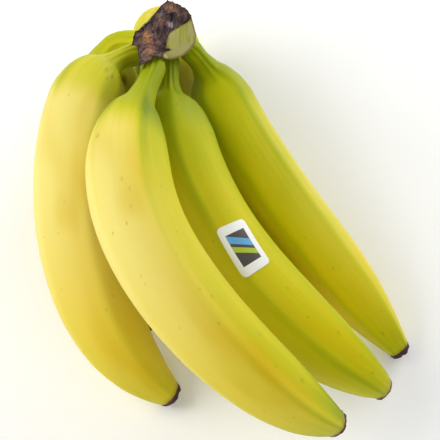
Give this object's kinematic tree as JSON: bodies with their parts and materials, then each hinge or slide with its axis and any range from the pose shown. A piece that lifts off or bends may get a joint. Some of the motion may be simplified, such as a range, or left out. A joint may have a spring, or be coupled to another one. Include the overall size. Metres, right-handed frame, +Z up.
{
  "type": "bunch of bananas",
  "caption": "Bunch of ripening bananas lying on a surface, joined at a dark cut crown, with dried blossom ends and a small plain label.",
  "frame": {"origin": "on the surface the bunch lies on, under the middle of its footprint", "axes": "+Z up; +Y from the tips towards the crown, along the bunch's longest extent; +X to the right, where the outer bananas' tips point"},
  "size_m": [0.1668, 0.209, 0.1123],
  "materials": {
    "peel": "waxy satin peel, yellow with green at the stalks, ridges and tips",
    "crown": "dry dark cut face, with a paler greyish green trimmed side",
    "blossom_end": "rough dried flower remnant, nearly black brown",
    "label": "smooth white paper film with a dark printed panel"
  },
  "bodies": {
    "root": {"crown": "crown", "banana_left": "peel", "banana_front": "peel", "banana_middle": "peel", "banana_right": "peel", "banana_inner_left": "peel", "banana_inner_right": "peel", "blossom_end_left": "blossom_end", "blossom_end_front": "blossom_end", "blossom_end_middle": "blossom_end", "blossom_end_right": "blossom_end", "blossom_end_inner_left": "blossom_end", "blossom_end_inner_right": "blossom_end", "label": "label"}
  },
  "joints": []
}
